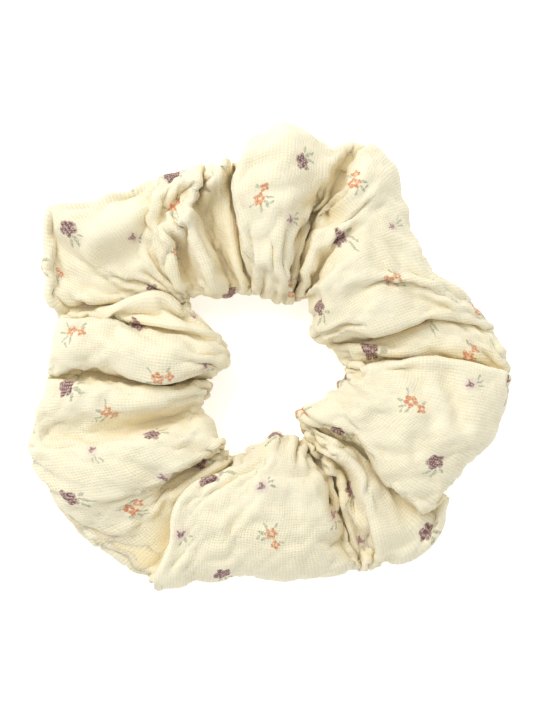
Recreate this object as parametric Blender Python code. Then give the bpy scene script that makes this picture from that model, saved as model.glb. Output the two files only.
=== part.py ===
"""A gathered cloth scrunchie: a sewn tube of double gauze with a lapped elastic loop inside.

Metres, +Z up. The scrunchie lies on the plane z = 0 and the hole for the hair runs along Z. The middle of
its box is at x = y = 0. The cloth tube comes in three lengths. Its two real ends meet in the closing seam
on the left, one tucked into the other. The other two breaks, above and below the hole, are where the right
half slides away from the left half as the elastic stretches.

Each length starts as a flat strip of cloth with the needle holes in it, and is then rolled into a tube
round the ring. Angles run anticlockwise round the hole from +X.
"""

import math

import bmesh
import bpy
from mathutils import Vector

MM = 0.001

# The ring: the hole for the hair, and the tube round it, as it lies gathered.
HOLE_RADIUS = 16.5 * MM
TUBE_WIDTH = 39.0 * MM
TUBE_HEIGHT = 25.5 * MM
SETTLED = 1.8 * MM  # how much of the tube's height the table presses flat

# How far the two edges of the ring stand out (+) or in (-) at these angles, in degrees.
OUTER_EDGE = (
    (0, 1.5 * MM),
    (14, 0.0 * MM),
    (30, -10.5 * MM),
    (58, 0.5 * MM),
    (70, 2.0 * MM),
    (90, -0.5 * MM),
    (105, -4.5 * MM),
    (120, -5.0 * MM),
    (140, 6.5 * MM),
    (160, 2.5 * MM),
    (175, -3.5 * MM),
    (203, 5.5 * MM),
    (222, 4.8 * MM),
    (240, 1.5 * MM),
    (268, -7.0 * MM),
    (290, 0.5 * MM),
    (310, 2.8 * MM),
    (330, -3.5 * MM),
    (348, 3.5 * MM),
)
INNER_EDGE = (
    (0, 3.5 * MM),
    (22, -2.8 * MM),
    (40, -2.2 * MM),
    (60, 3.0 * MM),
    (75, -0.8 * MM),
    (95, 0.6 * MM),
    (128, 5.0 * MM),
    (145, -4.5 * MM),
    (172, -9.0 * MM),
    (195, -4.0 * MM),
    (215, 0.8 * MM),
    (248, 5.5 * MM),
    (278, -1.2 * MM),
    (299, 3.2 * MM),
    (312, -4.2 * MM),
    (340, 0.2 * MM),
)

# The cloth, and the gathers that the elastic pulls it into.
CLOTH = 1.1 * MM  # two layers of gauze, bunched lengthwise
GATHERS = 12
GATHER_OUT = 2.2 * MM  # height of a gather's ridge over its middle, at the outer edge
GATHER_UP = 1.5 * MM  # and on top
GATHER_IN = 0.8 * MM  # and at the hole
COLUMNS_PER_GATHER = 6

# Seams: cloth edges turned into the tube, and thread that runs through both.
SEAM_ALLOWANCE = 6.0 * MM
SEAM_GAP = 0.4 * MM  # between the two right sides
STITCH_LINE = 1.6 * MM  # from the cloth's inner face at the outer edge to the stitches, or more in a low tube
NEEDLE_ROW = 1.4 * MM  # width of the row that the thread passes
THREAD = 0.4 * MM
CLEARANCE = 0.3 * MM

# The closing seam, where one end of the tube is tucked into the other.
CLOSING_COLUMNS = (35, 38)  # the columns of the ring that the two ends share
TUCK_COLUMNS = 3  # over which the tucked end grows narrower
PINCH = 3.4 * MM  # how far the closing seam draws the tube in
PINCH_COLUMNS = 6  # over which it does

# The elastic: one flat band whose ends lie over each other and are sewn.
ELASTIC_WIDTH = 6.0 * MM
ELASTIC_THICKNESS = 1.0 * MM
ELASTIC_LAP_COLUMNS = 8
ELASTIC_LAP_START = 39  # the column where the lap starts
ELASTIC_ROWS = 5
ELASTIC_RAMP_COLUMNS = 4
ELASTIC_FREEDOM = 4.0 * MM  # between the cloth and the elastic at the hole
ELASTIC_HEIGHT = 5.2 * MM  # of the band's lower edge, sunk towards the cloth under it

COLUMNS = GATHERS * COLUMNS_PER_GATHER
STEP = 2 * math.pi / COLUMNS
OVAL_POINTS = 20  # across the tube's oval, seam to seam
LIP_ROWS = 3
ROWS = OVAL_POINTS + 2 * LIP_ROWS
THREAD_POINTS_PER_COLUMN = 3
FIRST_SPLIT, SECOND_SPLIT = COLUMNS // 4, 3 * COLUMNS // 4

CLOTH_COLOUR = (0.87, 0.80, 0.62, 1.0)
THREAD_COLOUR = (0.86, 0.82, 0.70, 1.0)
ELASTIC_COLOUR = (0.90, 0.89, 0.86, 1.0)


def smooth(t):
    t = min(max(t, 0.0), 1.0)
    return t * t * (3 - 2 * t)


def along(edge, angle):
    """An edge's offset at an angle, eased from each listed point to the next."""
    degrees = math.degrees(angle) % 360
    after = next((i for i, (at, _) in enumerate(edge) if at > degrees), 0)
    (start, low), (end, high) = edge[after - 1], edge[after]
    span = (end - start) % 360
    return low + (high - low) * smooth((degrees - start) % 360 / span)


def pinch(column):
    """1 in the closing seam, falling to 0 on both sides of it."""
    first, last = CLOSING_COLUMNS
    away = max(first - column, column - last, 0)
    return 1 - smooth(away / PINCH_COLUMNS)


def tuck(column):
    """How far the tucked end lies inside the tube's face, down to 0 where it has grown to full width."""
    return (1 - smooth((column - CLOSING_COLUMNS[1]) / TUCK_COLUMNS)) * (CLOTH + CLEARANCE)


class Section:
    """The tube's oval where it is cut by the plane of one column."""

    def __init__(self, column):
        angle = column * STEP
        drawn = pinch(column)
        self.angle = angle
        self.gather = math.cos(GATHERS * angle) * (1 - drawn)
        inner = HOLE_RADIUS + along(INNER_EDGE, angle) + drawn * PINCH / 2
        outer = HOLE_RADIUS + TUBE_WIDTH + along(OUTER_EDGE, angle) - drawn * PINCH / 2
        self.radius = (inner + outer) / 2
        self.half_width = (outer - inner) / 2
        self.half_height = TUBE_HEIGHT / 2 - drawn * PINCH
        self.height = TUBE_HEIGHT / 2 - SETTLED

    def oval(self, turn, depth):
        """(distance from the ring's axis, height) on the oval, that deep under its face."""
        outwards = (1 + math.cos(turn)) / 2
        bulge = self.gather * (outwards * GATHER_OUT - (1 - outwards) * GATHER_IN)
        lift = self.gather * GATHER_UP * math.sin(turn)
        away = self.radius + (self.half_width - depth) * math.cos(turn) + bulge
        height = self.height + (self.half_height - depth) * math.sin(turn) + lift
        return away, max(height, depth)

    def stitch_line(self, depth):
        """How far in from the face at that depth the stitches run, where the tube is high enough for them."""
        room = SEAM_GAP / 2 + CLOTH + THREAD + 3 * CLEARANCE
        width, height = self.half_width - depth, self.half_height - depth
        return max(STITCH_LINE, width * (1 - math.sqrt(1 - min(room / height, 1.0) ** 2)))

    def strip(self, row, depth, tuck):
        """The same for a row of the flat strip: a lip inside the tube, the oval, and the other lip."""
        side = 1 if row <= ROWS / 2 else -1
        from_lip = min(row, ROWS - row)
        if from_lip > LIP_ROWS:
            return self.oval((row - LIP_ROWS) / OVAL_POINTS * 2 * math.pi, depth + tuck)
        edge = self.oval(0.0, depth + tuck)[0]
        stitches = self.stitch_line(CLOTH + tuck) + CLOTH - depth
        needle = (stitches - NEEDLE_ROW / 2, stitches + NEEDLE_ROW / 2)
        back = (SEAM_ALLOWANCE, needle[1], needle[0], 0.0)[from_lip]
        return edge - back, self.height + side * (SEAM_GAP / 2 + depth)

    def place(self, away, height):
        return Vector((away * math.cos(self.angle), away * math.sin(self.angle), height))


def ring_centre():
    """The middle of the outer edge's box, which goes to x = y = 0."""
    sections = [Section(column) for column in range(COLUMNS)]
    edge = [section.place(*section.oval(0.0, 0.0)) for section in sections]
    low = [min(point[axis] for point in edge) for axis in (0, 1)]
    high = [max(point[axis] for point in edge) for axis in (0, 1)]
    return Vector(((low[0] + high[0]) / 2, (low[1] + high[1]) / 2, 0.0))


def material(name, colour, roughness):
    made = bpy.data.materials.new(name)
    made.use_nodes = True
    shader = made.node_tree.nodes["Principled BSDF"]
    shader.inputs["Base Color"].default_value = colour
    shader.inputs["Roughness"].default_value = roughness
    shader.inputs["Metallic"].default_value = 0.0
    return made


def add(name, data, finish, parent, side=0.0):
    """An object on the ring. Side moves it off the plane where the halves part, by half the gap."""
    made = bpy.data.objects.new(name, data)
    made.data.materials.append(finish)
    made.parent = parent
    made.location.x = side * CLEARANCE / 2
    bpy.context.scene.collection.objects.link(made)
    return made


def flat_strip(columns, rows, thickness, is_hole):
    """A flat strip with square holes in it, one unit to a column and to a row, its right side up at z = 0."""
    mesh = bmesh.new()
    bmesh.ops.create_grid(mesh, x_segments=columns, y_segments=rows, size=0.5)
    for vertex in mesh.verts:
        vertex.co.x = round((vertex.co.x + 0.5) * columns)
        vertex.co.y = round((vertex.co.y + 0.5) * rows)
    holes = []
    for face in mesh.faces:
        middle = face.calc_center_median()
        if is_hole(int(middle.x), int(middle.y)):
            holes.append(face)
    bmesh.ops.delete(mesh, geom=holes, context="FACES")
    made = bmesh.ops.solidify(mesh, geom=mesh.faces[:], thickness=thickness)
    new = [item for item in made["geom"] if isinstance(item, bmesh.types.BMVert)]
    level = new[0].co.z
    for vertex in mesh.verts:
        vertex.co.z = 0.0 if abs(vertex.co.z - level) < thickness / 2 else -thickness
    return mesh


def finish_mesh(name, mesh):
    bmesh.ops.recalc_face_normals(mesh, faces=mesh.faces[:])
    data = bpy.data.meshes.new(name)
    mesh.to_mesh(data)
    mesh.free()
    data.shade_smooth()
    data.set_sharp_from_angle(angle=math.radians(40))
    return data


def cloth_length(name, first, last, finish, parent, side, tucked=False):
    """One length of the tube, between two columns.

    The one with the tucked end narrows to fit inside its neighbour, whose lips are cut back there.
    """
    closing_column = (CLOSING_COLUMNS[0] + CLOSING_COLUMNS[1]) // 2

    def is_hole(column, row):
        at = first + column
        if not LIP_ROWS <= row < ROWS - LIP_ROWS:
            cut_back = at >= CLOSING_COLUMNS[0] - 1 and not tucked
            return cut_back or (row in (1, ROWS - 2) and at % 2 == 0)
        return at == closing_column and row % 2 == 0 and row != ROWS - LIP_ROWS - 1

    mesh = flat_strip(last - first, ROWS, CLOTH, is_hole)
    for vertex in mesh.verts:
        column = first + vertex.co.x
        section = Section(column)
        inwards = tuck(column) if tucked else 0.0
        vertex.co = section.place(*section.strip(round(vertex.co.y), -vertex.co.z, inwards))
    return add(name, finish_mesh(name, mesh), finish, parent, side)


def stitch(t):
    """From 1 to -1 and back over two steps of t, flat on top, so that thread clears what it passes over."""
    steepness = 3.0
    return math.tanh(steepness * math.cos(math.pi * t)) / math.tanh(steepness)


def thread(name, points, finish, parent, side=0.0):
    curve = bpy.data.curves.new(name, "CURVE")
    curve.dimensions = "3D"
    curve.bevel_depth = THREAD / 2
    curve.bevel_resolution = 1
    curve.use_fill_caps = True
    line = curve.splines.new("POLY")
    line.points.add(len(points) - 1)
    for point, place in zip(line.points, points):
        point.co = (*place, 1.0)
    return add(name, curve, finish, parent, side)


def counted(first, last, points_per_step):
    """Evenly spaced values from first to last, that many to each step."""
    count = round((last - first) * points_per_step)
    return [first + i / points_per_step for i in range(count + 1)]


def long_seam_thread(name, first, last, finish, parent, side, tucked=False):
    """Running stitches through the two lips. They cross in the even columns, where the needle holes are."""
    reach = SEAM_GAP / 2 + CLOTH + THREAD / 2 + CLEARANCE

    def on_lip(column):
        section = Section(column)
        inwards = tuck(column) if tucked else 0.0
        away = section.oval(0.0, inwards)[0] - CLOTH - section.stitch_line(CLOTH + inwards)
        return section.place(away, section.height)

    points = []
    for column in counted(first + 0.5, last - 0.5, THREAD_POINTS_PER_COLUMN):
        before = math.floor(column)
        place = on_lip(before).lerp(on_lip(before + 1), column - before)
        points.append(place + Vector((0, 0, reach * stitch((column + 0.5) / 2))))
    return thread(name, points, finish, parent, side)


def closing_seam_thread(name, finish, parent, side):
    """Running stitches round the tube, through its outer end and the end tucked into it."""
    closing_column = (CLOSING_COLUMNS[0] + CLOSING_COLUMNS[1]) // 2
    sections = Section(closing_column), Section(closing_column + 1)
    outside = -(THREAD / 2 + CLEARANCE)
    inside = 2 * CLOTH + CLEARANCE + THREAD / 2 + CLEARANCE
    middle, reach = (inside + outside) / 2, (inside - outside) / 2
    points = []
    for row in counted(LIP_ROWS + 1.5, ROWS - LIP_ROWS - 1.5, THREAD_POINTS_PER_COLUMN):
        turn = (row - LIP_ROWS) / OVAL_POINTS * 2 * math.pi
        depth = middle + reach * stitch((row + 0.5) / 2)
        before, after = (section.place(*section.oval(turn, depth)) for section in sections)
        points.append(before.lerp(after, 0.5))
    return thread(name, points, finish, parent, side)


def elastic_radius():
    """The band's middle surface, clear of the cloth wherever the hole's edge stands out furthest."""
    return HOLE_RADIUS + max(out for _, out in INNER_EDGE) + CLOTH + ELASTIC_FREEDOM


def elastic_band(finish, parent):
    """One flat band. Its last columns climb over its first ones, and both have the stitches' holes."""
    length = COLUMNS + ELASTIC_LAP_COLUMNS

    def is_hole(column, row):
        in_lap = column % COLUMNS < ELASTIC_LAP_COLUMNS
        return in_lap and row == (1 if column % 2 == 0 else ELASTIC_ROWS - 2)

    mesh = flat_strip(length, ELASTIC_ROWS, ELASTIC_THICKNESS, is_hole)
    for vertex in mesh.verts:
        climbed = smooth((vertex.co.x - COLUMNS) / ELASTIC_RAMP_COLUMNS + 1)
        outwards = climbed * (ELASTIC_THICKNESS + CLEARANCE) + vertex.co.z + ELASTIC_THICKNESS / 2
        section = Section(ELASTIC_LAP_START + vertex.co.x)
        up = vertex.co.y / ELASTIC_ROWS * ELASTIC_WIDTH
        vertex.co = section.place(elastic_radius() + outwards, ELASTIC_HEIGHT + up)
    return add("elastic_band", finish_mesh("elastic_band", mesh), finish, parent)


def elastic_join_thread(finish, parent):
    """Zigzag stitches through both layers of the lap, from hole to hole across the band."""
    outside = 1.5 * ELASTIC_THICKNESS + CLEARANCE + THREAD / 2 + CLEARANCE
    inside = -(0.5 * ELASTIC_THICKNESS + THREAD / 2 + CLEARANCE)
    middle, reach = (inside + outside) / 2, (outside - inside) / 2
    row_height = ELASTIC_WIDTH / ELASTIC_ROWS
    points = []
    for step in counted(0.0, ELASTIC_LAP_COLUMNS, 2 * THREAD_POINTS_PER_COLUMN):
        section = Section(ELASTIC_LAP_START + step)
        away = elastic_radius() + middle + reach * stitch(step)
        zigzag = -math.sin(math.pi * step) * (ELASTIC_ROWS / 2 - 1.5) * row_height
        points.append(section.place(away, ELASTIC_HEIGHT + ELASTIC_WIDTH / 2 + zigzag))
    return thread("elastic_join_thread", points, finish, parent)


def build():
    for left_over in list(bpy.data.objects):
        bpy.data.objects.remove(left_over)

    cloth = material("double_gauze", CLOTH_COLOUR, 0.95)
    sewing = material("sewing_thread", THREAD_COLOUR, 0.7)
    rubber = material("braided_elastic", ELASTIC_COLOUR, 0.8)

    ring = bpy.data.objects.new("ring_axis", None)
    ring.location = -ring_centre()
    bpy.context.scene.collection.objects.link(ring)

    right = (SECOND_SPLIT - COLUMNS, FIRST_SPLIT)
    upper = (FIRST_SPLIT, CLOSING_COLUMNS[1])
    lower = (CLOSING_COLUMNS[0], SECOND_SPLIT)
    cloth_length("cover_right", *right, cloth, ring, 1)
    cloth_length("cover_left_upper", *upper, cloth, ring, -1)
    cloth_length("cover_left_lower", *lower, cloth, ring, -1, tucked=True)

    long_seam_thread("long_seam_thread_right", *right, sewing, ring, 1)
    long_seam_thread("long_seam_thread_left_upper", upper[0], CLOSING_COLUMNS[0], sewing, ring, -1)
    long_seam_thread("long_seam_thread_left_lower", *lower, sewing, ring, -1, tucked=True)
    closing_seam_thread("closing_seam_thread", sewing, ring, -1)

    elastic_band(rubber, ring)
    elastic_join_thread(sewing, ring)


build()
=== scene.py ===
import math
import random

import bmesh
import bpy
import numpy as np
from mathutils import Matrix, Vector, bvhtree, interpolate


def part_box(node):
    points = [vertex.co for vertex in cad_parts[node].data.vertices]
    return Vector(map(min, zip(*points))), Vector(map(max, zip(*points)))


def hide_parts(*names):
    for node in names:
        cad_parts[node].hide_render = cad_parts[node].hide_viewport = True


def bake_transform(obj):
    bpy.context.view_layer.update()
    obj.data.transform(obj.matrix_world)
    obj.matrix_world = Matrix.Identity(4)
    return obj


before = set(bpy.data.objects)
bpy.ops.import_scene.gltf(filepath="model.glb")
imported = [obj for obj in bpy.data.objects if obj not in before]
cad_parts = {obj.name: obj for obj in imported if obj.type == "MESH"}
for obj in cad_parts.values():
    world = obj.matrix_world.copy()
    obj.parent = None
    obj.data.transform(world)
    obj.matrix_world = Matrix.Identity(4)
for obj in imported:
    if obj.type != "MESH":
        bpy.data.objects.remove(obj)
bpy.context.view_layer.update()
scene = bpy.context.scene
MM = 0.001


def linked(name, data):
    """A new object in the scene."""
    made = bpy.data.objects.new(name, data)
    scene.collection.objects.link(made)
    return made


def mesh_from(name, shape):
    """The finished mesh of a bmesh, which is freed."""
    mesh = bpy.data.meshes.new(name)
    shape.to_mesh(mesh)
    shape.free()
    return mesh


# ---- The cloth tube -----------------------------------------------------------------------------
# One strip of cream cotton double gauze, printed with small flowers. It is folded lengthwise, right sides
# together, sewn 6 mm from its edges and turned out through itself, so both edges lie inside the tube. The
# elastic bunches it to less than half its length, and it falls in deep folds across the ring.

CLOTH_LENGTH = 480 * MM
CLOTH_WIDTH = 104 * MM
CLOTH_THICKNESS = 0.6 * MM
SEAM_ALLOWANCE = 6 * MM
CLOSING_LAP = 8 * MM
COLUMNS = 240  # of the mesh, along the strip
ROWS = 40  # round the tube
HOLE_X, HOLE_Y = -1.4 * MM, -1.9 * MM
HOLE_Z = 9.5
UNDER_Z = 0.0
TABLE_GAP = 0.1 * MM
FLAT_UNDER = 21  # mm; a fold that is this high on top leaves the underside flat
UNDER_GATHER = 0.42  # of the depth that a fold has on top
UNDER_PLEAT = 5.0  # mm that every other line is drawn up by, where the underside bunches too
SIDE_PLEAT = 0.10  # and drawn in by at the hole and the rim, as a share of the tube's width
SEAM_LOW = -0.02  # where the long seam lies, as a share of the way round the tube from the rim
SEAM_RISE = 0.055  # how much further it has rolled on to the top at the lower left
SEAM_RISE_AT, SEAM_RISE_OVER = 222.0, 18.0  # degrees
FIRST_LINE = 35  # the fold line where the closing seam lies
MEASURED_LINE = 46  # the one that the rows are spread along
STEPS_PER_LINE, STEPS_ROUND = 40, 400  # that the cloth's lengths are measured in
TURN = 360.0

# The folds as they lie, anticlockwise from +X round the hole's middle. Each line runs over the tube from
# the hole to the rim: degrees at the hole, a third out, two thirds out and at the rim, mm from the
# middle at the hole and at the rim, and mm above the table a third out, two thirds out and at the rim.
FOLDS = (
    (359, 364, 362, 357, 20.7, 58.5, 20, 20, 12),  # upper edge of the big flap on the right
    (361.5, 362, 360.5, 358, 19.5, 58.3, 12, 11, 11),
    (371, 368, 367.5, 361.6, 18.4, 58.0, 17, 16, 12),  # narrow band above it
    (379.4, 377, 377.5, 369.3, 17.0, 55.5, 11, 13, 12),
    (390, 375.5, 376, 372, 14.0, 53.7, 20, 19, 12),  # lower edge of the smooth right side
    (396, 392, 388, 380, 14.3, 50.5, 21, 20, 12),
    (410, 405, 398, 390, 17.8, 45.7, 22, 21, 12),
    (418, 415, 410, 402, 21.0, 47.0, 22, 21, 12),
    (422, 420, 417, 410, 20.0, 51.5, 14, 20, 12),  # crease of the pocket
    (424, 427.7, 420, 417.6, 19.5, 56.8, 20, 21, 13),
    (425, 431, 424, 422.5, 19.0, 58.3, 15, 21, 14),  # arch at the top right
    (426.5, 434, 429.4, 428, 18.0, 57.0, 9, 9, 14),  # hollow under it
    (430, 435, 432, 433, 16.6, 54.0, 20, 18, 14),
    (438, 444, 444.8, 445, 16.9, 57.4, 24, 25, 14),  # tall hump at the top
    (449, 455, 456.5, 452, 17.6, 54.5, 22, 24, 14),
    (454.5, 461.6, 460.8, 456.8, 18.1, 49.0, 20, 20, 13),  # its left edge
    (457, 459, 458.5, 458.5, 18.0, 48.5, 9, 11, 11),
    (464, 465, 463.3, 460, 18.6, 49.2, 15, 15, 12),
    (468.5, 471, 471.6, 465, 19.8, 49.7, 8, 10, 12),
    (483, 477.6, 476, 469, 20.1, 50.2, 21, 21, 12),  # second tongue
    (492.6, 487.5, 482, 474, 24.5, 50.5, 10, 16, 12),
    (497.6, 491.6, 486.6, 477.5, 25.7, 50.9, 19, 20, 12),  # first tongue
    (498.4, 496.5, 489.4, 485.8, 25.4, 52.4, 13, 14, 12),
    (499, 498.5, 496.4, 494.5, 25.2, 55.8, 15, 18, 13),  # wide sheet at the top left
    (499.5, 504.7, 506, 503.7, 25.0, 63.0, 14, 16, 14),
    (500, 508.5, 512.8, 512, 24.8, 59.5, 12, 12, 12),
    (500.5, 512, 519, 520.6, 24.7, 55.3, 10, 12, 12),
    (501, 513.5, 520.5, 526, 24.5, 51.0, 8, 8, 9),
    (502, 508, 521, 526.7, 22.7, 49.6, 18, 14, 9),  # leaf-shaped fold
    (503.5, 511.5, 522, 527.3, 20.0, 49.3, 12, 12, 9),
    (506, 515.5, 522.4, 528, 12.0, 49.3, 17, 13, 9),
    (510, 518.5, 522.7, 528.3, 10.5, 49.5, 13, 12, 10),
    (514.7, 520.5, 523.5, 528.8, 9.5, 50.4, 20, 18, 12),  # upper edge of the big tongue
    (532, 532.3, 531.6, 534, 8.8, 50.2, 23, 21, 12),
    (538.5, 548.8, 539.6, 539.5, 9.0, 50.8, 21, 18, 12),  # its lower edge
    (549, 546, 542, 541, 13.7, 51.0, 11, 10, 12),
    (556, 549.7, 546.5, 546, 13.8, 52.1, 18, 17, 12),  # straight edge under it
    (564.4, 557.4, 552, 552, 14.4, 54.9, 19, 17, 12),
    (571.5, 565.4, 560.6, 555.5, 18.7, 57.7, 10, 12, 12),
    (584.5, 571.7, 566, 560.8, 18.0, 59.0, 20, 18, 12),  # smooth lower left
    (599.5, 586.4, 577.8, 569.9, 20.0, 58.8, 21, 19, 12),
    (602.3, 591.5, 589, 581.5, 22.0, 58.4, 10, 14, 11),
    (609.4, 597.6, 595.8, 590.7, 23.6, 57.7, 15.5, 11, 10),
    (613.6, 601, 603.5, 601.5, 23.5, 57.3, 9, 8, 8),
    (618, 596.6, 600.9, 604.3, 21.9, 58.5, 20, 19, 9),  # left edge of the bottom flap
    (624.3, 610.6, 611.7, 614.4, 19.1, 52.0, 21, 21, 12),
    (639.6, 628.9, 625, 624.7, 15.7, 49.2, 23, 22, 12),
    (650.4, 644, 639, 637, 17.7, 50.3, 21, 22, 12),
    (656.3, 659.4, 655.8, 653.6, 20.4, 52.1, 18, 18, 12),  # its right edge
    (658, 658, 654.5, 655.5, 20.6, 54.0, 9, 8, 9),
    (660.5, 664.5, 658.5, 656.7, 20.5, 54.0, 15, 12, 11),  # thin fold
    (662, 665.5, 661, 658.9, 20.0, 54.5, 10, 9, 11),
    (663.5, 673.4, 667.8, 661.7, 18.5, 54.7, 18, 17, 11),
    (664.5, 676, 671.6, 668.5, 17.0, 57.7, 14, 15, 11),
    (665.5, 677.5, 674.6, 675.8, 16.0, 57.3, 13, 13, 11),
    (666.5, 680, 680, 685.5, 14.5, 53.6, 10, 9, 10),
    (668, 682, 676.3, 676.5, 13.4, 49.8, 18, 19, 17),  # corner of the big flap
    (673, 685.5, 682, 683, 13.2, 51.0, 20, 20, 15),
    (693, 694.6, 690.6, 692.3, 16.3, 52.6, 21, 21, 13),
    (706.7, 707.8, 704.7, 705.2, 18.6, 56.8, 22, 22, 12),
)


def evened(values):
    """The same angles without going back, for the underside, which lies flat with no folds over it."""
    forward = np.maximum.accumulate(values)
    backward = np.minimum.accumulate(values[::-1])[::-1]
    return (forward + backward) / 2


folds = np.array(FOLDS, dtype=float)
line_count = len(folds)
under_hole = evened(folds[:, 0])
under_rim = evened(folds[:, 3])


def section_cage(k):
    """Control points (degrees, mm from the middle, mm up) round the tube at one fold line."""
    hole, near, far, rim, r_hole, r_rim, z_near, z_far, z_rim = folds[k]
    u_hole, u_rim = under_hole[k], under_rim[k]
    pleat, inset = (UNDER_PLEAT, SIDE_PLEAT) if k % 2 else (0.0, 0.0)
    lift_near = max(0.0, (FLAT_UNDER - z_near) * UNDER_GATHER)
    lift_far = max(pleat, (FLAT_UNDER - z_far) * UNDER_GATHER)
    points = (
        (rim, 1.0, z_rim),
        (rim * 0.7 + far * 0.3, 0.92, z_rim + 0.66 * (z_far - z_rim)),
        (far, 0.67, z_far),
        (near, 0.33, z_near),
        (near * 0.3 + hole * 0.7, 0.08, HOLE_Z + 0.66 * (z_near - HOLE_Z)),
        (hole, 0.0, HOLE_Z),
        (u_hole * 0.9 + u_rim * 0.1, 0.08 + 0.4 * inset, 3.2),
        (u_hole * 0.67 + u_rim * 0.33, 0.33, UNDER_Z + 0.15 * lift_near),
        (u_hole * 0.33 + u_rim * 0.67, 0.67, UNDER_Z + lift_far),
        (u_hole * 0.08 + u_rim * 0.92, 0.92 - inset, 3.0 + 0.5 * lift_far),
    )
    return np.array([(angle, r_hole + (r_rim - r_hole) * out, z) for angle, out, z in points])


cage = [section_cage(k) for k in range(line_count)]


def cage_line(k):
    turns, k = divmod(k, line_count)
    return cage[k] + (TURN * turns, 0, 0)


def tube_point(line, turn):
    """(x, y, z) on the tube as it is first laid. Turn is 0 at the rim and 0.5 at the hole, over the top."""
    k = math.floor(line)
    t = line - k
    ease = t * t * (3 - 2 * t)
    share = np.array((t, ease, ease))
    ring = cage_line(k) * (1 - share) + cage_line(k + 1) * share
    at = turn * len(ring)
    i = math.floor(at)
    s = at - i
    p0, p1, p2, p3 = (ring[(i + m) % len(ring)] for m in (-1, 0, 1, 2))
    angle, away, z = 0.5 * (
        2 * p1 + (p2 - p0) * s + (2 * p0 - 5 * p1 + 4 * p2 - p3) * s * s
        + (3 * p1 - p0 - 3 * p2 + p3) * s ** 3
    )
    rad = math.radians(angle)
    return (HOLE_X + away * MM * math.cos(rad), HOLE_Y + away * MM * math.sin(rad), z * MM)


def run_length(points):
    steps = np.linalg.norm(np.diff(points, axis=0), axis=1)
    return np.concatenate([[0.0], np.cumsum(steps)])


# Columns are spread evenly along the cloth as it goes over the folds, and rows evenly round the tube.
fine_lines = FIRST_LINE + np.arange(line_count * STEPS_PER_LINE + 1) / STEPS_PER_LINE
spread = sum(
    weight * run_length([tube_point(line, turn) for line in fine_lines])
    for turn, weight in ((0.2, 1.0), (0.3, 1.0), (0.0, 0.5))
)
column_lines = np.interp(np.arange(COLUMNS) / COLUMNS * spread[-1], spread, fine_lines)
fine_turns = np.arange(STEPS_ROUND + 1) / STEPS_ROUND
round_length = run_length([tube_point(MEASURED_LINE, turn) for turn in fine_turns])
row_turns = np.interp(np.arange(ROWS) / ROWS * round_length[-1], round_length, fine_turns)


def seam_turn(line):
    rim = cage_line(math.floor(line))[0][0] % TURN
    return SEAM_LOW + SEAM_RISE * math.exp(-(((rim - SEAM_RISE_AT) / SEAM_RISE_OVER) ** 2))


seam_turns = np.array([seam_turn(line) for line in column_lines])
smoothing = np.array((1, 2, 3, 2, 1)) / 9
seam_turns = np.convolve(np.concatenate([seam_turns[-2:], seam_turns, seam_turns[:2]]), smoothing, "valid")

laid = np.array(
    [[tube_point(line, turn + shift) for turn in row_turns] for line, shift in zip(column_lines, seam_turns)]
)

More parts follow.
